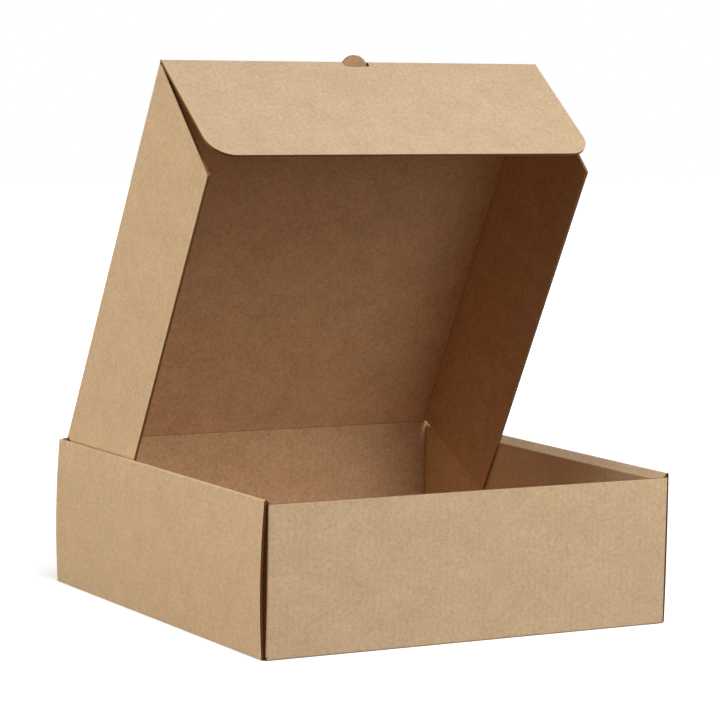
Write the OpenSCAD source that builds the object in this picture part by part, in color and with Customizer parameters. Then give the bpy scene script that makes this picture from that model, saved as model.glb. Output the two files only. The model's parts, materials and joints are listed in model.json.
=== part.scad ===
// Kraft corrugated mailer for a gift hamper, lid raised: one die-cut sheet with a tray of three-layer
// rolled side walls and a hinged lid that carries two side wings and a front tuck flap.
// Millimetres. The tray stands on z = 0, its front wall faces -y, the lid's crease runs along the back.

/* [Tray] */
// outside width, taken where the side walls are fullest
box_w = 400; // [320:1:480]
// outside depth, front wall to back wall
box_d = 394; // [320:1:480]
// height of the rolled side walls
box_h = 131; // [100:1:170]
// how far the outer side panels belly out at mid height
side_bow = 1.2; // [0.6:0.1:2]
// length of the corner flaps inside the side walls
corner_flap = 112; // [60:1:140]
// width of each lock tab under the inner side panels
lock_tab = 46; // [30:1:60]
// distance between the two lock tabs of a side
tab_space = 197; // [100:1:220]
// corner radius of the corner flaps
corner_round = 6; // [2:1:12]

/* [Board] */
// thickness of the corrugated board
board = 2.4; // [1.8:0.1:3]
// inside radius of every fold
fold_in = 0.4; // [0.3:0.05:0.6]
// width of a knife cut, and the play between two layers
cut = 0.3; // [0.25:0.05:0.4]

/* [Lid] */
// angle the lid stands open, from shut
lid_open = 63; // [40:1:90]
// clear height left under the wings and the tuck flap when the lid is shut
lid_play = 5; // [4:0.5:12]
// slant of the wings' front edges, from square
wing_slant = 17.5; // [15:0.5:25]
// lean of the tuck flap past the least that lets it swing in behind the front wall
tuck_ease = 0.5; // [0:0.5:5]
// corner radius of the tuck flap
tuck_round = 28; // [15:1:40]
// free play of the lid between the side walls and behind the front wall
lid_gap = 0.6; // [0.4:0.1:1]
// set-back of the wings from the lid's crease
wing_setback = 4; // [3:0.5:8]
// corner radius of the wings
wing_round = 1.5; // [1:0.5:8]
// how far the tuck flap's crease stands proud of its panels
crease = 0.15; // [0.1:0.01:0.25]
// width of the half-moon thumb tab
tab_w = 25.5; // [20:0.5:34]
// reach of the thumb tab past the lid's front crease
tab_out = 7.5; // [6:0.5:9]
// depth of the half-moon cut-out below the lid's front crease
notch_d = 6.2; // [5:0.1:7]

/* [Hidden] */
$fn = 96;
fold_out = board + fold_in; // outside radius of a fold
side_x = box_w / 2 - side_bow; // outer face of a side wall at its foot and its roll
flap_x = side_x - board - fold_in - cut; // outer face of the corner flaps
pack = 3 * board + fold_in + 2 * cut; // outer panel, corner flap and inner panel together
inner_x = side_x - pack; // inner face of the side walls
roll_r = pack / 2;
roll_z = box_h - roll_r;
bow_half = (roll_z - fold_out) / 2 - board; // the panel stays straight for a board's thickness by each fold
bow_r = (bow_half * bow_half + side_bow * side_bow) / (2 * side_bow);
side_y = box_d / 2 - fold_out - cut; // the side walls end just behind the corners of the end walls
front_h = box_h - 1.5 * board; // top of the front wall, just under the roll
hinge_y = box_d / 2 - board / 2;
hinge_z = front_h + board / 2 + cut; // the shut lid passes just over the front wall
back_h = hinge_z - board / 2 - cut;
flap_h = roll_z + fold_in; // top of the corner flaps, inside the roll
lid_w = 2 * (inner_x - lid_gap);
lid_l = box_d - 1.5 * board - lid_gap; // hinge line to the outside of the front fold
wing_d = hinge_z - board / 2 - lid_play; // depth of the wings below the lid's top face
wing_back = wing_d * tan(wing_slant);
tuck_fold = 90 + asin(wing_d / (2 * lid_l) + board / wing_d) + tuck_ease;
tuck_l = (wing_d - fold_out - fold_in) / sin(tuck_fold); // flat part of the tuck flap
tuck_w = lid_w - 2 * cut;
lap = 25; // angle by which the tuck flap's crease runs on into its two panels
shade = cut / 6;

colours = [[0.76, 0.62, 0.45], [0.79, 0.65, 0.48]];

// the point where a rounded corner starts, and the centre of its arc
function unit(v) = v / norm(v);
function half(a, p, b) = acos(unit(a - p) * unit(b - p)) / 2;
function ends(a, p, b, r) = r == 0 ? [p]
    : [p + unit(a - p) * r / tan(half(a, p, b)), p + unit(b - p) * r / tan(half(a, p, b))];
function middle(a, p, b, r) = p + unit(unit(a - p) + unit(b - p)) * r / sin(half(a, p, b));

// outline of a panel through the points p, each corner rounded by its own radius; each arc is a shade
// smaller than the tangent one, so that it crosses its chord cleanly
module panel(p, r) {
    n = len(p);
    polygon([for (i = [0:n - 1]) each ends(p[(i + n - 1) % n], p[i], p[(i + 1) % n], r[i])]);
    for (i = [0:n - 1])
        if (r[i] > 0) translate(middle(p[(i + n - 1) % n], p[i], p[(i + 1) % n], r[i])) circle(r[i] - shade);
}

// cross-section of a fold: a ring of board from angle a to angle b
module fold(a, b, r = fold_out) {
    far = 3 * r;
    intersection() {
        difference() {
            circle(r);
            circle(r - board);
        }
        polygon([[0, 0], for (i = [0:3]) far * [cos(a + (b - a) * i / 3), sin(a + (b - a) * i / 3)]]);
    }
}

// run a section drawn across the box (x, z) along y, or one drawn along it (y, z) across x
module along_y(y0, y1) { translate([0, y1, 0]) rotate([90, 0, 0]) linear_extrude(y1 - y0) children(); }
module along_x(x0, x1) { translate([x0, 0, 0]) rotate([90, 0, 90]) linear_extrude(x1 - x0) children(); }

module both_sides() { children(); mirror([1, 0, 0]) children(); }

// all that lies inward of a face of the outer side panel, t behind its outer face
module inward(t) {
    translate([side_x + side_bow - bow_r, (fold_out + roll_z) / 2]) circle(bow_r - t, $fn = 1440);
    square([side_x - t, box_h]);
}

// the outer side panel: folded up from the floor, bellied, and rolled over at the top
module side_shell() {
    along_y(-side_y, side_y) {
        translate([side_x - fold_out, fold_out]) fold(-90, 0);
        intersection() {
            difference() {
                inward(0);
                inward(board);
            }
            translate([side_x - 2 * board, fold_out]) square([3 * board + side_bow, roll_z - fold_out]);
        }
        translate([side_x - roll_r, roll_z]) fold(0, 180, roll_r);
    }
}

// the inner side panel hangs from the roll, and its tabs lock into the floor's slots
module side_inner() {
    translate([inner_x, 0, 0]) rotate([90, 0, 90]) linear_extrude(board) {
        translate([-side_y, board + cut]) square([2 * side_y, roll_z - board - cut]);
        for (s = [-1, 1]) translate([s * tab_space / 2, 0])
            panel([[-lock_tab / 2, 2 * board], [-lock_tab / 2, cut], [lock_tab / 2, cut], [lock_tab / 2, 2 * board]],
                [0, board / 2, board / 2, 0]);
    }
}

module floor_sheet() {
    difference() {
        translate([-side_x + fold_out, -box_d / 2 + fold_out, 0])
            cube([2 * (side_x - fold_out), box_d - 2 * fold_out, board]);
        both_sides() for (s = [-1, 1])
            translate([inner_x - cut, s * tab_space / 2 - lock_tab / 2 - cut, -1])
                cube([board + 2 * cut, lock_tab + 2 * cut, board + 2]);
    }
}

// an end wall of height h, standing at the front, with a corner flap turned back from each end
module end_wall(h) {
    y0 = -box_d / 2;
    low = fold_out + cut;
    x = flap_x - fold_out;
    along_x(-side_x + fold_out + cut, side_x - fold_out - cut)
        translate([y0 + fold_out, fold_out]) fold(180, 270);
    along_x(-x, x) translate([y0, fold_out]) square([board, h - fold_out]);
    both_sides() {
        translate([x, y0 + fold_out, low]) linear_extrude(h - low) fold(-90, 0);
        translate([flap_x - board, 0, 0]) rotate([90, 0, 90]) linear_extrude(board)
            panel([[y0 + fold_out, low], [y0 + corner_flap, low], [y0 + corner_flap, flap_h],
                [y0 + fold_out, flap_h]], [0, corner_round, corner_round, 0]);
    }
}

module tray() {
    color(colours[0]) {
        floor_sheet();
        both_sides() {
            side_shell();
            side_inner();
        }
        end_wall(front_h);
        mirror([0, 1, 0]) end_wall(back_h);
    }
}

// lid, drawn shut in its own place: the crease at y = 0, the lid running along -y, its middle at z = 0
module wing() {
    x = lid_w / 2;
    top = board / 2;
    start = lid_l - fold_out - cut;
    len = start - wing_back - wing_setback; // along the free edge
    intersection() {
        along_y(-start, -wing_setback) {
            translate([x - fold_out, top - fold_out]) fold(0, 90);
            translate([x - board, top - wing_d]) square([board, wing_d - fold_out]);
        }
        along_x(x - 2 * fold_out, x + 1) translate([wing_back - start, top - wing_d])
            panel([[len, wing_d], [len, 0], [0, 0], [-wing_back, wing_d - 2 * fold_out], [-wing_back, wing_d]],
                [0, wing_round, wing_round, 0, 0]);
    }
}

module tuck_flap() {
    z0 = board / 2 - fold_out;
    y0 = -lid_l + fold_out;
    side = fold_out + cut; // the half-moon runs straight across the crease, then round
    sag = notch_d - side;
    r = (tab_w * tab_w / 4 + sag * sag) / (2 * sag);
    difference() {
        union() {
            along_x(-lid_w / 2 + fold_out, lid_w / 2 - fold_out)
                translate([y0, z0]) fold(90 - lap, 90 + lap + tuck_fold, fold_out + crease);
            translate([0, y0, z0]) rotate([tuck_fold, 0, 0]) translate([0, 0, fold_in]) linear_extrude(board)
                panel([[tuck_w / 2, 0], [-tuck_w / 2, 0], [-tuck_w / 2, -tuck_l], [tuck_w / 2, -tuck_l]],
                    [0, 0, tuck_round, tuck_round]);
        }
        // the half-moon cut that frees the thumb tab
        translate([0, y0, board / 2]) rotate([tuck_fold, 0, 0]) translate([0, 0, -2 * board])
            linear_extrude(5 * board) intersection() {
                translate([0, r - notch_d]) circle(r);
                translate([-tab_w / 2, -2 * notch_d]) square([tab_w, 4 * notch_d]);
            }
    }
}

module thumb_tab() {
    s = tab_out + fold_out;
    w = tab_w / 2 - 2 * cut;
    r = (w * w + s * s) / (2 * s);
    translate([0, 0, -board / 2]) linear_extrude(board) intersection() {
        translate([0, -lid_l + fold_out - s + r]) circle(r);
        translate([-tab_w, -lid_l + fold_out - 2 * s]) square([2 * tab_w, 2 * s + cut]);
    }
}

module lid() {
    color(colours[1]) translate([0, hinge_y, hinge_z]) rotate([-lid_open, 0, 0]) {
        x = lid_w / 2 - fold_out;
        along_x(-x, x) {
            circle(d = board);
            translate([-lid_l + fold_out, -board / 2]) square([lid_l - fold_out, board]);
        }
        both_sides() wing();
        tuck_flap();
        thumb_tab();
    }
}

tray();
lid();
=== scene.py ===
import json
import math
import bpy
from mathutils import Matrix, Quaternion, Vector


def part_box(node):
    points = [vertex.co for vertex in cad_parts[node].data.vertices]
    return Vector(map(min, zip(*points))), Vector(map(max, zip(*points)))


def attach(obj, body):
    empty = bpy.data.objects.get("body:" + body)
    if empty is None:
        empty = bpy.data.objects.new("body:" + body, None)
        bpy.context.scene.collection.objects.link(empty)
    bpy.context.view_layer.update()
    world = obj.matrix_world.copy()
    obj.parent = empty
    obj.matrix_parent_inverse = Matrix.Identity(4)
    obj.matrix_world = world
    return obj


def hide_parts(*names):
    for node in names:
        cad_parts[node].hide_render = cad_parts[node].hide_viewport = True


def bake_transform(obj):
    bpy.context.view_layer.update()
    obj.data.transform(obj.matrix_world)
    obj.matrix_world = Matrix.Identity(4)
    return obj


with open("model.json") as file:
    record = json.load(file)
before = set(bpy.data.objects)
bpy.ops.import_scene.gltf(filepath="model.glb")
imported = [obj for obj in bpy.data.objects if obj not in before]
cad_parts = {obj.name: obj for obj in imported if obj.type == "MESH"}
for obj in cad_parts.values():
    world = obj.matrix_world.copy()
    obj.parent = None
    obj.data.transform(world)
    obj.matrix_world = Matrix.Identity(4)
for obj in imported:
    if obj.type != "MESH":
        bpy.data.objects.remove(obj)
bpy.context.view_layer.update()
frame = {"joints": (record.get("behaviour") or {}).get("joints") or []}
mm = 0.001

# The tray's floor, front and back walls and their corner flaps: one stretch of a sheet of kraft
# corrugated board, two paper liners glued to a waved paper medium. It is laid flat, scored, cut with a
# steel rule that crushes the edges shut, and folded up, the corner flaps back inside the side walls.
board = 2.4 * mm
liner = 0.35 * mm
flute_pitch = 6.3 * mm
cut = 0.3 * mm
# radii of a fold: inside, outside, in the middle of the board, and of the liner where it is pressed
fold_in = 0.4 * mm
fold_out = fold_in + board
fold_mid = fold_in + board / 2
fold_tight = 1.3 * mm
quarter = math.pi / 2

# where the walls, their tops, the corner flaps and the lock tabs stand in the folded box
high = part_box("tray")[1]
side_bow = 1.2 * mm
side_x = high.x - side_bow
end_y = high.y
flap_x = side_x - board - fold_in - cut
pack = 3 * board + fold_in + 2 * cut
inner_x = side_x - pack
floor_x = side_x - fold_out - cut
front_h = high.z - 1.5 * board
flap_h = front_h - 2 * board
ear_h = high.z - cut
corner_flap = 112 * mm
corner_round = 6 * mm
lock_tab = 46 * mm
tab_x = inner_x + board / 2
tab_y = 98.5 * mm

# the lid's hinge, and the strip of board that bends there
joint = frame["joints"][0]
hinge = Vector(joint["pos_m"])
lid_gap = 0.6 * mm
lid_w = 2 * (inner_x - lid_gap)
crease_reach = 3.7 * mm
strip_x = lid_w / 2 - cut


def material(name):
    """A new material with a Principled shader, and its node tree."""
    made = bpy.data.materials.new(name)
    made.use_nodes = True
    return made, made.node_tree


def colour(red, green, blue):
    """A colour as it looks, 0 to 255, as the shader takes it."""
    linear = [((c / 255 + 0.055) / 1.055) ** 2.4 for c in (red, green, blue)]
    return (*linear, 1)


def noise(tree, place, size, detail, roughness):
    """A cloudy pattern with features of a size in millimetres."""
    cloud = tree.nodes.new("ShaderNodeTexNoise")
    cloud.inputs["Scale"].default_value = 1 / size
    cloud.inputs["Detail"].default_value = detail
    cloud.inputs["Roughness"].default_value = roughness
    tree.links.new(place, cloud.inputs["Vector"])
    return cloud.outputs["Fac"]


def worked(tree, operation, *terms):
    """One sum of the shader, on sockets and plain numbers."""
    step = tree.nodes.new("ShaderNodeMath")
    step.operation = operation
    for term, socket in zip(terms, step.inputs):
        if isinstance(term, bpy.types.NodeSocket):
            tree.links.new(term, socket)
        else:
            socket.default_value = term
    return step.outputs[0]


def added(tree, start, layers):
    """The sum of layers, each (socket, weight), every one taken as its distance from one half."""
    total = start - sum(weight for socket, weight in layers) / 2
    for socket, weight in layers:
        total = worked(tree, "MULTIPLY_ADD", socket, weight, total)
    return total


# the patterns of the paper are drawn in millimetres
in_mm = (1 / mm, 1 / mm, 1 / mm)
as_is = (1, 1, 1)


def mapped(tree, source, scale, turn=0, shift=(0, 0, 0)):
    """The same place, stretched, turned and shifted."""
    mapping = tree.nodes.new("ShaderNodeMapping")
    mapping.inputs["Scale"].default_value = scale
    mapping.inputs["Rotation"].default_value = (0, 0, turn)
    mapping.inputs["Location"].default_value = shift
    tree.links.new(source, mapping.inputs["Vector"])
    return mapping.outputs["Vector"]


def on_sheet(tree, scale, shift=(0, 0, 0)):
    """The place on the flat sheet, however the board is folded."""
    sheet = tree.nodes.new("ShaderNodeUVMap")
    sheet.uv_map = "sheet"
    return mapped(tree, sheet.outputs["UV"], scale, shift=shift)


def waves(tree, place):
    """A wave across the flutes. The place counts one turn of the wave as 2 pi."""
    across = tree.nodes.new("ShaderNodeSeparateXYZ")
    tree.links.new(place, across.inputs["Vector"])
    return worked(tree, "SINE", across.outputs["X"])


def shades(tree, value, first, last, start=0, end=1):
    """A colour that runs from the first to the last as the value rises from start to end."""
    ramp = tree.nodes.new("ShaderNodeValToRGB")
    ramp.color_ramp.elements[0].position = start
    ramp.color_ramp.elements[0].color = first
    ramp.color_ramp.elements[1].position = end
    ramp.color_ramp.elements[1].color = last
    tree.links.new(value, ramp.inputs["Fac"])
    return ramp.outputs["Color"]


def paper(name, dark, light, mottle, shift):
    """Unbleached kraft paper: cloudy pulp, fibres that lie mostly across the flutes, sparse dark shives,
    spots that took the dye unevenly, and the faint washboard of the flutes beneath."""
    made, tree = material(name)
    shader = tree.nodes["Principled BSDF"]
    place = on_sheet(tree, in_mm, shift)
    pulp = noise(tree, place, size=38, detail=5, roughness=1)
    felt = noise(tree, place, size=3.6, detail=3, roughness=0.75)
    elsewhere = mapped(tree, place, as_is, shift=(310, 55, 0))
    dye = noise(tree, elsewhere, size=11, detail=3, roughness=0.9)
    drawn_out = mapped(tree, place, (0.22, 1, 1), turn=0.1)
    fibres = noise(tree, drawn_out, size=1.1, detail=2, roughness=0.7)
    crossed = mapped(tree, place, (1, 0.3, 1), turn=-0.3, shift=(70, 20, 0))
    strands = noise(tree, crossed, size=1.4, detail=2, roughness=0.7)
    splinters = noise(tree, mapped(tree, place, (0.5, 1, 1), turn=0.4), size=1.5, detail=1, roughness=0.5)
    shives = tree.nodes.new("ShaderNodeMapRange")
    shives.inputs["From Min"].default_value = 0.7
    shives.inputs["From Max"].default_value = 0.8
    tree.links.new(splinters, shives.inputs["Value"])
    flute_turn = 2 * math.pi / (flute_pitch / mm)
    ridge = waves(tree, mapped(tree, place, (flute_turn, flute_turn, flute_turn)))
    tone = added(tree, 0.5, [
        (pulp, 0.95 * mottle), (felt, 0.75 * mottle), (fibres, 0.6 * mottle), (strands, 0.5 * mottle),
        (shives.outputs["Result"], -0.5), (ridge, 0.02),
    ])
    yellower = (1, 0.965, 0.88, 1)
    greyer = (0.98, 1.02, 1.12, 1)
    tinted = tree.nodes.new("ShaderNodeVectorMath")
    tinted.operation = "MULTIPLY"
    tree.links.new(shades(tree, tone, colour(*dark), colour(*light)), tinted.inputs[0])
    tree.links.new(shades(tree, dye, yellower, greyer, start=0.2, end=0.8), tinted.inputs[1])
    tree.links.new(tinted.outputs["Vector"], shader.inputs["Base Color"])
    tree.links.new(added(tree, 0.82, [(felt, 0.2)]), shader.inputs["Roughness"])
    shader.inputs["Specular IOR Level"].default_value = 0.25
    relief = tree.nodes.new("ShaderNodeBump")
    relief.inputs["Distance"].default_value = 0.05 * mm
    height = added(tree, 0.5, [(felt, 0.3), (fibres, 0.3), (ridge, 0.2)])
    tree.links.new(height, relief.inputs["Height"])
    tree.links.new(relief.outputs["Normal"], shader.inputs["Normal"])
    return made


def raw_edge(name, dark, light):
    """Board seen end on: the two liners and the wave of the medium, crushed together by the rule. The
    wave is read from the place on the flat sheet and from the depth in the board; the hollows on either
    side of it are painted darker, as painted shade in the flutes."""
    made, tree = material(name)
    shader = tree.nodes["Principled BSDF"]
    flute_turn = 2 * math.pi / flute_pitch
    wave = waves(tree, on_sheet(tree, (flute_turn, flute_turn, flute_turn)))
    depth = tree.nodes.new("ShaderNodeAttribute")
    depth.attribute_name = "depth"
    # painted shade: darker away from the wave, in the flutes' hollows
    flute_hollow_shade = worked(tree, "ABSOLUTE", worked(tree, "SUBTRACT", depth.outputs["Fac"], wave))
    grain = tree.nodes.new("ShaderNodeTexCoord")
    tear = noise(tree, mapped(tree, grain.outputs["Object"], in_mm), size=0.9, detail=3, roughness=0.8)
    tone = added(tree, 0.5, [(tear, 1.5), (flute_hollow_shade, 0.4)])
    tree.links.new(shades(tree, tone, colour(*light), colour(*dark)), shader.inputs["Base Color"])
    shader.inputs["Roughness"].default_value = 0.9
    shader.inputs["Specular IOR Level"].default_value = 0.1
    return made


kraft_outside = paper("kraft_outside", (174, 143, 107), (227, 198, 160), mottle=1, shift=(0, 0, 0))
kraft_inside = paper("kraft_inside", (157, 119, 87), (209, 171, 132), mottle=1.4, shift=(900, 400, 0))
# darker kraft for the scored creases and the corner folds: painted shade
painted_crease_shade = paper("painted_crease_shade", (128, 86, 53), (172, 126, 86), mottle=1, shift=(300, 100, 0))
cut_edge = raw_edge("cut_edge", (112, 78, 50), (154, 116, 80))
# the side walls' cut edges: the same raw edge, darker, as painted shade for the slit where they meet the
# end walls' corner folds
side_edge_shade = raw_edge("side_edge_shade", (76, 44, 22), (118, 76, 44))
board_paints = (kraft_outside, kraft_inside, painted_crease_shade, cut_edge, side_edge_shade)


def paint(face, chosen):
    """Gives a face of the board one of its paints; the crease paint and the side walls' edge paint are
    painted shade.
    """
    face.material_index = board_paints.index(chosen)


def lay_sheet(name, x0, x1, y0, y1):
    """One flat piece of the sheet."""
    bpy.ops.object.select_all(action="DESELECT")
    bpy.ops.mesh.primitive_grid_add(x_subdivisions=1, y_subdivisions=1, size=1)
    sheet = bpy.context.object
    sheet.name = name
    sheet.scale = (x1 - x0, y1 - y0, 1)
    sheet.location = ((x0 + x1) / 2, (y0 + y1) / 2, 0)
    bpy.ops.object.transform_apply(location=True, rotation=False, scale=True)
    return sheet


def score(lines, normal):
    """Lines pressed across the flat sheet, where it will bend."""
    bpy.ops.object.mode_set(mode="EDIT")
    for line in lines:
        bpy.ops.mesh.select_all(action="SELECT")
        bpy.ops.mesh.bisect(plane_co=line * Vector(normal), plane_no=normal)
    bpy.ops.object.mode_set(mode="OBJECT")


def apply_modifier(piece, kind, **settings):
    """One modifier, set and applied."""
    modifier = piece.modifiers.new(kind, kind)
    for name, value in settings.items():
        setattr(modifier, name, value)
    bpy.ops.object.modifier_apply(modifier=modifier.name)


def rounded(corners, steps=8):
    """An outline through corners (x, y, radius), each rounded by its own radius."""
    outline = []
    for i, (x, y, radius) in enumerate(corners):
        here = Vector((x, y))
        if not radius:
            outline.append(here)
            continue
        before = (Vector(corners[i - 1][:2]) - here).normalized()
        after = (Vector(corners[(i + 1) % len(corners)][:2]) - here).normalized()
        half = before.angle(after) / 2
        middle = here + (before + after).normalized() * radius / math.sin(half)
        first = here + before * radius / math.tan(half) - middle
        last = here + after * radius / math.tan(half) - middle
        for k in range(steps + 1):
            spoke = first.lerp(last, k / steps).normalized()
            outline.append(middle + spoke * radius)
    return outline


def flip_x(corners):
    """The same corners right for left, in the order that goes on round the outline."""
    return [(-x, y, radius) for x, y, radius in reversed(corners)]


def flip_y(corners):
    """The same corners back for front, in the order that goes on round the outline."""
    return [(x, -y, radius) for x, y, radius in reversed(corners)]


def box_outline(x0, x1, y0, y1):
    """A plain rectangle."""
    return [Vector((x0, y0)), Vector((x1, y0)), Vector((x1, y1)), Vector((x0, y1))]


def die(name, *outlines):
    """The steel rule that cuts along these outlines, as solid prisms through the board."""
    corners = []
    faces = []
    below = 2 * board
    for outline in outlines:
        faces.append(range(len(corners), len(corners) + len(outline)))
        corners += [(p.x, p.y, -below) for p in outline]
    mesh = bpy.data.meshes.new(name)
    mesh.from_pydata(corners, [], faces)
    tool = bpy.data.objects.new(name, mesh)
    bpy.context.scene.collection.objects.link(tool)
    bpy.ops.object.select_all(action="DESELECT")
    tool.select_set(True)
    bpy.context.view_layer.objects.active = tool
    bpy.ops.object.mode_set(mode="EDIT")
    bpy.ops.mesh.select_all(action="SELECT")
    bpy.ops.mesh.extrude_region_move(TRANSFORM_OT_translate={"value": (0, 0, 2 * below)})
    bpy.ops.mesh.select_all(action="SELECT")
    bpy.ops.mesh.normals_make_consistent(inside=False)
    bpy.ops.object.mode_set(mode="OBJECT")
    return tool


def flat_board(name, x0, x1, y0, y1, x_scores, y_scores, edge, keep=None, drop=None):
    """A flat piece of board, scored and die-cut: keep is the die of its outline, drop that of its holes,
    and edge the paint of what they cut. The narrow strips between close scores on the inside get the
    darker crease paint, painted shade in the creases."""
    sheet = lay_sheet(name, x0, x1, y0, y1)
    score(x_scores, (1, 0, 0))
    score(y_scores, (0, 1, 0))
    apply_modifier(sheet, "SOLIDIFY", thickness=board, offset=0)
    if keep:
        apply_modifier(sheet, "BOOLEAN", operation="INTERSECT", object=keep)
        bpy.data.objects.remove(keep)
    if drop:
        apply_modifier(sheet, "BOOLEAN", operation="DIFFERENCE", object=drop)
        bpy.data.objects.remove(drop)
    sheet.data.materials.clear()
    for chosen in board_paints:
        sheet.data.materials.append(chosen)
    depth = sheet.data.attributes.new("depth", "FLOAT", "POINT")
    for v in sheet.data.vertices:
        depth.data[v.index].value = v.co.z / (board / 2 - liner)
    for face in sheet.data.polygons:
        if abs(face.normal.z) < 0.5:
            paint(face, edge)
        elif face.normal.z > 0:
            corners = [sheet.data.vertices[i].co for i in face.vertices]
            narrow = min(max(c[axis] for c in corners) - min(c[axis] for c in corners) for axis in (0, 1))
            paint(face, painted_crease_shade if narrow < fold_in else kraft_inside)
    return sheet


def mark_blank(piece, y_offset=0):
    """Keeps each point's place on the flat sheet, in metres, as the UV map that the paper reads."""
    layer = piece.data.uv_layers[0]
    layer.name = "sheet"
    for loop in piece.data.loops:
        at = piece.data.vertices[loop.vertex_index].co
        layer.data[loop.index].uv = (at.x, at.y + y_offset)


def scores_of(path, steps=12):
    """Where a path's folds need lines: at their ends and evenly between."""
    lines = []
    at = 0
    for run, turn in path[1:]:
        if turn:
            lines += [at + run * k / steps for k in range(steps + 1)]
        at += run
    return lines


def both(lines):
    """The same lines on both sides of the middle."""
    return [-line for line in reversed(lines)] + lines


def up_wall(z):
    """How far out on the flat sheet a height on the end walls lies."""
    return wall_foot + z - fold_out


# a path is its start and heading, then runs (length, turn), of which the last goes on as far as it must
square_fold = (fold_mid * quarter, quarter)
onward = (1, 0)
corner_x = flap_x - fold_out
end_path = [(0, board / 2, 0), (end_y - fold_out, 0), square_fold, onward]
corner_path = [(0, 0, 0), (corner_x, 0), square_fold, onward]
wall_foot = end_y - fold_out + fold_mid * quarter
flap_low = up_wall(fold_out + cut)
flap_x0 = corner_x + fold_mid * quarter
flap_end = flap_x0 + corner_flap - fold_out
front_quarter = [
    (floor_x, wall_foot, 0), (corner_x, wall_foot, 0), (corner_x, flap_low, 0),
    (flap_end, flap_low, corner_round), (flap_end, up_wall(flap_h), corner_round),
    (flap_x0, up_wall(flap_h), 0), (flap_x0, up_wall(front_h), 0),
]
# the back wall rises a little beside the ends of the lid's crease
back_quarter = front_quarter + [
    (corner_x + cut, up_wall(front_h), 0), (corner_x + cut, up_wall(ear_h), 0),
    (strip_x + cut, up_wall(ear_h), 0), (strip_x + cut, up_wall(front_h), 0),
]
blank = back_quarter + flip_x(back_quarter) + flip_x(flip_y(front_quarter)) + flip_y(front_quarter)
slots = [
    box_outline(
        sx * tab_x - board / 2 - cut, sx * tab_x + board / 2 + cut,
        sy * tab_y - lock_tab / 2 - cut, sy * tab_y + lock_tab / 2 + cut,
    )
    for sx in (-1, 1) for sy in (-1, 1)
]
crease_room = box_outline(-strip_x - cut, strip_x + cut, up_wall(hinge.z - crease_reach), up_wall(hinge.z))

tray_floor = flat_board(
    "tray_floor", -flap_end, flap_end, -up_wall(front_h), up_wall(ear_h),
    both(scores_of(corner_path)), both(scores_of(end_path)), cut_edge,
    keep=die("floor_die", rounded(blank)), drop=die("slot_die", *slots, crease_room),
)
mark_blank(tray_floor)
# the corner folds get the darker crease paint, painted shade for the shadowed gap at the side walls' ends;
# the flaps beyond them are hidden by the side walls and share the tone
for face in tray_floor.data.polygons:
    if abs(face.center.x) > corner_x + fold_mid and face.normal.z < -0.5:
        paint(face, painted_crease_shade)


def pressed(radius, turn, bend):
    """How much further than its radius the outer liner stands from the middle of a scored fold, where it
    keeps a tighter corner than the board behind it."""
    reach = (radius - fold_tight) / math.cos(turn / 2)
    aside = abs(bend - turn / 2)
    if aside > turn / 2 - math.atan((1 - fold_tight / radius) * math.tan(turn / 2)):
        return radius / math.cos(turn / 2 - aside) - radius
    return reach * math.cos(aside) + math.sqrt(fold_tight ** 2 - (reach * math.sin(aside)) ** 2) - radius


def follow(path, length, offset):
    """The point at a length along a path of straight runs and folds, offset to its left."""
    (a, b, heading), *runs = path
    for run, turn in runs:
        last = (run, turn) == runs[-1]
        part = length if last else min(length, run)
        if turn:
            bend = turn * part / run
            a += run / turn * (math.sin(heading + bend) - math.sin(heading))
            b -= run / turn * (math.cos(heading + bend) - math.cos(heading))
            heading += bend
            if run / turn < board and offset < 0 and part < run:
                offset += offset / (board / 2) * pressed(run / turn + board / 2, turn, bend)
        else:
            a += part * math.cos(heading)
            b += part * math.sin(heading)
        length -= part
        if length <= 0:
            break
    return a - offset * math.sin(heading), b + offset * math.cos(heading)


def fold_up(piece, place):
    """Moves every point of the flat sheet to its place in the folded box."""
    for v in piece.data.vertices:
        v.co = place(v.co.x, v.co.y, v.co.z)


def fold_end(x, y, w):
    """The corner flap is folded first, then the wall that carries it."""
    x1, w1 = abs(x), w
    if abs(y) > (wall_foot + flap_low) / 2:
        x1, w1 = follow(corner_path, x1, w)
    y1, z1 = follow(end_path, abs(y), w1)
    return math.copysign(x1, x), math.copysign(y1, y), z1


fold_up(tray_floor, fold_end)

# The side walls, of the same sheet: each is one long panel that folds up from the floor, bellies out,
# and comes down again inside, where its two tabs lock into the floor's slots. Two scores lie side by
# side at the top, and the strip between them slopes in. The left wall bellies more than the right one.
side_y = end_y - fold_out - cut
top_slope = math.radians(46)
left_bow = 2.2 * mm
right_bow = 0.4 * mm
side_steps = 16
crisp_from = math.radians(40)


def side_path_of(bow):
    """The section of a side wall whose outer panel bellies out by a bow, and its inner panel's length."""
    outer_turn = quarter + top_slope
    peak = (fold_out - fold_tight) * math.tan(outer_turn / 2) + fold_tight
    top_z = high.z - peak
    strip = (side_x - fold_out - fold_mid - inner_x - board / 2) / math.cos(top_slope)
    belly = 2 * math.atan(2 * bow / (top_z - fold_out))
    chord = top_z - fold_out + 2 * fold_mid * math.sin(belly)
    path = [
        (0, board / 2, 0), (side_x - fold_out, 0), (fold_mid * (quarter - belly), quarter - belly),
        (chord * belly / math.sin(belly), 2 * belly), (fold_mid * (outer_turn - belly), outer_turn - belly),
        (strip, 0), (fold_mid * (quarter - top_slope), quarter - top_slope), onward,
    ]
    return path, top_z - strip * math.sin(top_slope) - board - cut


def fold_side(path):
    """How a side wall's sheet goes round the foot, the belly and the roll."""
    def place(x, y, w):
        x1, z1 = follow(path, abs(x), w)
        return math.copysign(x1, x), y, z1
    return place


def join(name, parts):
    """Several meshes as one piece."""
    bpy.ops.object.select_all(action="DESELECT")
    for part in parts:
        part.select_set(True)
    bpy.context.view_layer.objects.active = parts[0]
    bpy.ops.object.join()
    parts[0].name = name
    parts[0].data.name = name
    return parts[0]


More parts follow.
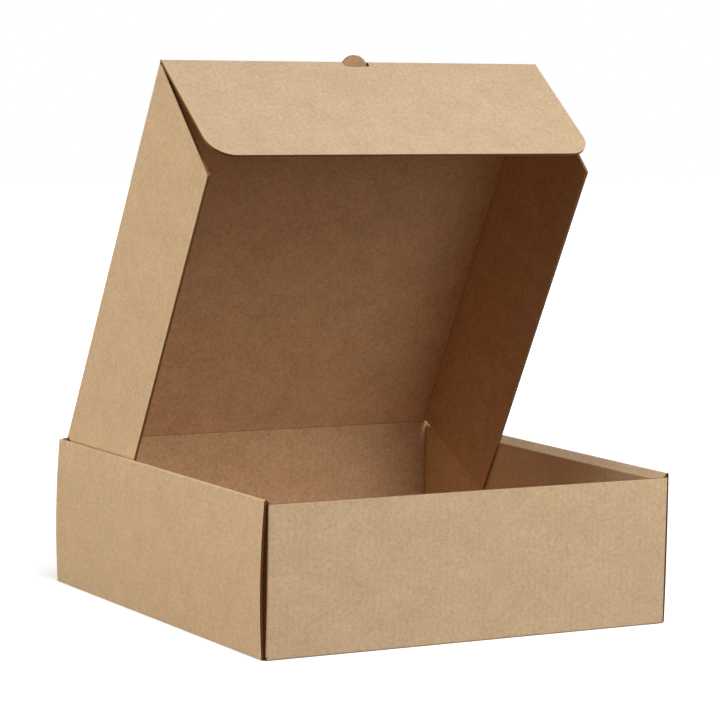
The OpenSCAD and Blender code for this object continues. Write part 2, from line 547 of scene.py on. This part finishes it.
def finish_board(piece):
    """Outward normals, and folds that look round while cut edges stay crisp."""
    bpy.ops.object.select_all(action="DESELECT")
    piece.select_set(True)
    bpy.context.view_layer.objects.active = piece
    bpy.ops.object.mode_set(mode="EDIT")
    bpy.ops.mesh.select_all(action="SELECT")
    bpy.ops.mesh.normals_make_consistent(inside=False)
    bpy.ops.object.mode_set(mode="OBJECT")
    bpy.ops.object.shade_smooth_by_angle(angle=crisp_from)


walls = []
for hand, name, bow in ((-1, "left", left_bow), (1, "right", right_bow)):
    path, inner_l = side_path_of(bow)
    inner_foot = sum(run for run, turn in path[1:-1]) + inner_l
    side_quarter = [
        (inner_foot, tab_y - lock_tab / 2, 0), (inner_foot + board, tab_y - lock_tab / 2, board / 2),
        (inner_foot + board, tab_y + lock_tab / 2, board / 2), (inner_foot, tab_y + lock_tab / 2, 0),
        (inner_foot, side_y, 0), (floor_x, side_y, 0),
    ]
    outline = [(hand * x, y, radius) for x, y, radius in side_quarter + flip_y(side_quarter)]
    x0, x1 = sorted((hand * floor_x, hand * (inner_foot + board)))
    # the side walls' cut edges take the darker raw edge, painted shade
    wall = flat_board(
        "side_" + name, x0, x1, -side_y, side_y, [hand * line for line in scores_of(path, side_steps)], [],
        side_edge_shade, keep=die("side_die", rounded(outline)),
    )
    mark_blank(wall)
    fold_up(wall, fold_side(path))
    walls.append(wall)

tray = join("tray_board", [tray_floor, *walls])
finish_board(tray)
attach(tray, "tray")
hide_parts("tray")

# The lid, of the same sheet: the panel behind the crease, two wings folded down from its sides, and the
# tuck flap folded a little past square from its front edge. A half-moon cut frees the thumb tab there.
lid_open = math.radians(-joint["range_deg"][0])
lid_l = 2 * end_y - 1.5 * board - lid_gap
lid_play = 5 * mm
wing_d = hinge.z - board / 2 - lid_play
wing_slant = math.radians(17.5)
wing_back = wing_d * math.tan(wing_slant)
wing_setback = crease_reach + cut / 2
wing_round = 1.5 * mm
tuck_ease = math.radians(0.5)
tuck_fold = quarter + math.asin(wing_d / (2 * lid_l) + board / wing_d) + tuck_ease
tuck_l = (wing_d - fold_out - fold_in) / math.sin(tuck_fold)
tuck_x = lid_w / 2 - cut
tuck_round = 23 * mm
tuck_steps = 12
tab_w = 25.5 * mm
tab_out = 6.1 * mm
tab_lift = math.radians(24)
notch_d = 4.6 * mm
moon_steps = 12
tab_steps = 16

front = lid_l - fold_out
crease_x = lid_w / 2 - fold_out
lid_path = [(0, 0, math.pi), (front, 0), (fold_mid * tuck_fold, tuck_fold), onward]
wing_path = [(0, 0, 0), (crease_x, 0), square_fold, onward]
tuck_foot = front + fold_mid * tuck_fold
wing_top = crease_x + fold_mid * quarter
wing_edge = wing_top + wing_d - fold_out
lid_half = [
    (crease_x, crease_reach, 0), (crease_x, wing_setback, 0), (wing_edge, wing_setback, wing_round),
    (wing_edge, front - cut - wing_back, wing_round), (wing_top + fold_out, front - cut, 0),
    (crease_x, front - cut, 0), (crease_x, front, 0),
    (tuck_x, front + 2 * cut, 0), (tuck_x, tuck_foot + tuck_l, tuck_round),
]


def arc(radius, turn, crown, steps):
    """The top of a circle whose crown lies on the middle line, as far as a turn to either side."""
    points = []
    for k in range(steps + 1):
        angle = turn * (2 * k / steps - 1)
        points.append(Vector((radius * math.sin(angle), crown - radius + radius * math.cos(angle))))
    return points


sag = notch_d - fold_out - cut
moon_r = (tab_w * tab_w / 4 + sag * sag) / (2 * sag)
moon = [Vector((tab_w / 2, front)), Vector((-tab_w / 2, front))]
moon += arc(moon_r, math.asin(tab_w / 2 / moon_r), tuck_foot + notch_d, moon_steps)
lid = flat_board(
    "lid_panel", -wing_edge, wing_edge, crease_reach, tuck_foot + tuck_l,
    both(scores_of(wing_path)), scores_of(lid_path), cut_edge,
    keep=die("lid_die", rounded(lid_half + flip_x(lid_half), tuck_steps)), drop=die("moon_die", moon),
)
tab_half = tab_w / 2 - cut / 2
tab_l = tab_out + fold_out
tab_r = (tab_half * tab_half + tab_l * tab_l) / (2 * tab_l)
tab_outline = arc(tab_r, math.atan2(tab_half, tab_r - tab_l), front + tab_l, tab_steps)
tab_outline += [Vector((tab_half - board, front - board)), Vector((board - tab_half, front - board))]
thumb_tab = flat_board(
    "thumb_tab", -tab_half, tab_half, front - board, front + tab_l, [], [], cut_edge,
    keep=die("tab_die", tab_outline),
)
for piece in (lid, thumb_tab):
    mark_blank(piece, up_wall(hinge.z))
raise_lid = Matrix.Translation(hinge) @ Matrix.Rotation(-lid_open, 4, "X")
tab_bend = Matrix.Translation((0, -front, 0)) @ Matrix.Rotation(-tab_lift, 4, "X")


def fold_lid(x, y, w):
    """The wing is folded first, then the tuck flap, and the whole lid is raised."""
    x1, w1 = abs(x), w
    if y < front - cut / 2:
        x1, w1 = follow(wing_path, x1, w)
    y1, z1 = follow(lid_path, y, w1)
    return raise_lid @ Vector((math.copysign(x1, x), y1, z1))


def raise_tab(x, y, w):
    """The thumb tab stays near the plane of the lid; a thumb has pushed it up a little."""
    return raise_lid @ tab_bend @ Vector((x, front - y, -w))


fold_up(lid, fold_lid)
fold_up(thumb_tab, raise_tab)
lid = join("lid_board", [lid, thumb_tab])
finish_board(lid)
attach(lid, "lid")
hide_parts("lid")

# The crease between back wall and lid, the one fold of the box that works as a hinge. It is the same
# board, pressed thin along a line, bent as it stands with the lid open.
rest_bend = quarter - lid_open
bend_r = fold_mid
bend_half = bend_r * math.tan(rest_bend / 2)
crease_path = [
    (hinge.y, hinge.z - crease_reach, quarter), (crease_reach - bend_half, 0),
    (bend_r * rest_bend, rest_bend), onward,
]
crease_run = 2 * (crease_reach - bend_half) + bend_r * rest_bend
crease_strips = 12
crease = flat_board(
    "hinge_crease", -strip_x, strip_x, 0, crease_run, [],
    [crease_run * k / crease_strips for k in range(1, crease_strips)], cut_edge,
)
mark_blank(crease, up_wall(hinge.z - crease_reach))
# the two strips in the middle, the line that was pressed from inside, get the darker crease paint as
# painted shade
for face in crease.data.polygons:
    if face.normal.z > 0.5 and abs(face.center.y - crease_run / 2) < crease_run / crease_strips:
        paint(face, painted_crease_shade)


def fold_crease(x, y, w):
    """Up the back wall, round the bend and on into the lid."""
    y1, z1 = follow(crease_path, y, w)
    return x, y1, z1


fold_up(crease, fold_crease)
finish_board(crease)
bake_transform(crease)

# The studio: a white floor and backdrop that keep the shadow at the box's foot, a warm lamp at the left,
# a cool one overhead, two at the right, and the photograph's viewpoint.
floor_size = 12
floor_drop = 0.3 * mm
bpy.ops.object.select_all(action="DESELECT")
bpy.ops.mesh.primitive_plane_add(size=floor_size, location=(0, 0, -floor_drop))
floor = bpy.context.object
floor.name = "floor"


def by_viewer(tree, others, camera_view):
    """One look for the camera's own rays, and another for the light that goes round the room."""
    rays = tree.nodes.new("ShaderNodeLightPath")
    seen = tree.nodes.new("ShaderNodeMixShader")
    tree.links.new(rays.outputs["Is Camera Ray"], seen.inputs[0])
    tree.links.new(others, seen.inputs[1])
    tree.links.new(camera_view, seen.inputs[2])
    return seen.outputs[0]


# the camera sees the floor white, and the box gets only a little warm light back from it
floor_paint, tree = material("floor_paint")
dull = tree.nodes["Principled BSDF"]
dull.inputs["Base Color"].default_value = (0.22, 0.16, 0.11, 1)
dull.inputs["Roughness"].default_value = 0.9
dull.inputs["Specular IOR Level"].default_value = 0
lit = tree.nodes.new("ShaderNodeBsdfDiffuse")
lit.inputs["Color"].default_value = (0.9, 0.9, 0.9, 1)
glow = tree.nodes.new("ShaderNodeEmission")
glow.inputs["Strength"].default_value = 0.6
white = tree.nodes.new("ShaderNodeAddShader")
tree.links.new(lit.outputs[0], white.inputs[0])
tree.links.new(glow.outputs[0], white.inputs[1])
floor_look = by_viewer(tree, dull.outputs[0], white.outputs[0])
tree.links.new(floor_look, tree.nodes["Material Output"].inputs["Surface"])
floor.data.materials.append(floor_paint)

world = bpy.data.worlds.new("studio")
bpy.context.scene.world = world
world.use_nodes = True
tree = world.node_tree
fill = tree.nodes["Background"]
fill.inputs["Color"].default_value = (1, 1, 1, 1)
fill.inputs["Strength"].default_value = 0.01
backdrop = tree.nodes.new("ShaderNodeBackground")
backdrop.inputs["Color"].default_value = (1, 1, 1, 1)
backdrop.inputs["Strength"].default_value = 1
world_look = by_viewer(tree, fill.outputs[0], backdrop.outputs[0])
tree.links.new(world_look, tree.nodes["World Output"].inputs["Surface"])

box_middle = Vector((0, 0, 200 * mm))
far_off = 3
far_spread = math.radians(35)
near_size = 0.5


def direction(azimuth, elevation):
    """The way from the box to a lamp or viewer, in degrees: 0 is straight in front, 90 at the right."""
    azimuth, elevation = math.radians(azimuth), math.radians(elevation)
    return Vector((
        math.sin(azimuth) * math.cos(elevation),
        -math.cos(azimuth) * math.cos(elevation),
        math.sin(elevation),
    ))


def place_lamp(made, azimuth, elevation, distance):
    """Puts a lamp at a distance from the middle of the box, facing it."""
    lamp = bpy.data.objects.new(made.name, made)
    bpy.context.scene.collection.objects.link(lamp)
    towards = direction(azimuth, elevation)
    lamp.location = box_middle + distance * towards
    lamp.rotation_euler = towards.to_track_quat("Z", "Y").to_euler()


def far_lamp(name, azimuth, elevation, strength, tint):
    """A soft lamp so far off that it lights the whole box alike. At strength 1 it shows a colour that
    faces it as it is written."""
    made = bpy.data.lights.new(name, "SUN")
    made.energy = math.pi * strength
    made.angle = far_spread
    made.color = tint
    place_lamp(made, azimuth, elevation, far_off)


def near_lamp(name, azimuth, elevation, strength, distance):
    """A round lamp close by, which lights the near side of the box more than the far side."""
    made = bpy.data.lights.new(name, "AREA")
    made.shape = "DISK"
    made.size = near_size
    made.energy = (math.pi * distance) ** 2 * strength
    place_lamp(made, azimuth, elevation, distance)


far_lamp("lamp_left", azimuth=-120, elevation=10, strength=0.89, tint=(1, 0.96, 0.87))
far_lamp("lamp_top", azimuth=0, elevation=60, strength=0.56, tint=(0.8, 0.83, 0.95))
far_lamp("lamp_right", azimuth=16, elevation=38, strength=0.39, tint=(1, 0.97, 0.86))
near_lamp("lamp_near", azimuth=24, elevation=20, strength=0.19, distance=0.9)

camera_azimuth = -30.407
camera_elevation = 6.304
camera_roll = math.radians(1.257)
camera_distance = 2800.4 * mm
aim = Vector((1.14 * mm, 0, 215.67 * mm))
focal_pixels = 3178.9
picture_pixels = 720
sight_end = 50
back = direction(camera_azimuth, camera_elevation)
lens = bpy.data.cameras.new("camera")
lens.lens = focal_pixels / picture_pixels * lens.sensor_width
lens.clip_end = sight_end
camera = bpy.data.objects.new("camera", lens)
bpy.context.scene.collection.objects.link(camera)
camera.location = aim + camera_distance * back
turn = back.to_track_quat("Z", "Y") @ Quaternion((0, 0, 1), camera_roll)
camera.rotation_euler = turn.to_euler()
bpy.context.scene.camera = camera
bpy.context.scene.view_settings.view_transform = "Standard"
